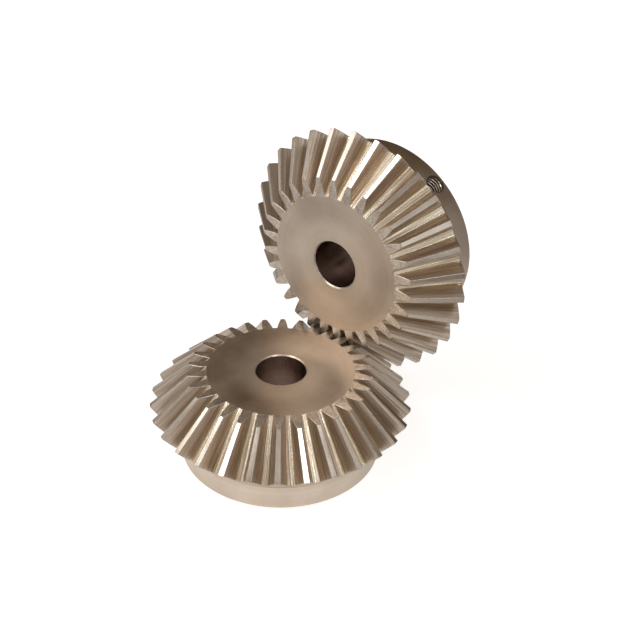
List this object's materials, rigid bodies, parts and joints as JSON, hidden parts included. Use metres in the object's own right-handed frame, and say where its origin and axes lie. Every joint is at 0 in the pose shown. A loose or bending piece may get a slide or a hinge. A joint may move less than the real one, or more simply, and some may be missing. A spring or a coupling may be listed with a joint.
{
  "type": "bevel gear pair",
  "caption": "Two equal straight-tooth bevel gears in mesh at a right angle, each with a long round hub, a plain bore, a radial set screw and a thrust washer.",
  "frame": {"origin": "point where the two shaft axes cross, which is also the tip of both pitch cones", "axes": "+Z is the lower gear's axis, with that gear below the origin; +X is the upper gear's axis, with that gear on the +X side; the teeth mesh on the line between +X and -Z"},
  "size_m": [0.0747, 0.0628, 0.0747],
  "materials": {
    "gear_steel": "turned and machined, warm satin",
    "screw_steel": "dark hardened steel, satin",
    "washer_steel": "ground, satin"
  },
  "bodies": {
    "housing_side": {"lower_thrust_washer": "washer_steel", "upper_thrust_washer": "washer_steel"},
    "lower_wheel": {"lower_gear": "gear_steel"},
    "upper_wheel": {"upper_gear": "gear_steel"},
    "lower_screw": {"lower_set_screw": "screw_steel"},
    "upper_screw": {"upper_set_screw": "screw_steel"}
  },
  "joints": [
    {"name": "lower_gear_turn", "type": "hinge", "parent": "housing_side", "child": "lower_wheel", "pos_m": [0, 0, 0], "axis": [0, 0, 1], "continuous": true},
    {"name": "upper_gear_turn", "type": "hinge", "parent": "housing_side", "child": "upper_wheel", "pos_m": [0, 0, 0], "axis": [1, 0, 0], "continuous": true},
    {"name": "lower_set_screw_out", "type": "slide", "parent": "lower_wheel", "child": "lower_screw", "axis": [0.7009, 0.7133, 0], "range_m": [0, 0.016]},
    {"name": "upper_set_screw_out", "type": "slide", "parent": "upper_wheel", "child": "upper_screw", "axis": [0, -0.6018, 0.7986], "range_m": [0, 0.016]}
  ],
  "couplings": [
    {"joint": "upper_gear_turn", "follows": "lower_gear_turn", "ratio": 1}
  ]
}
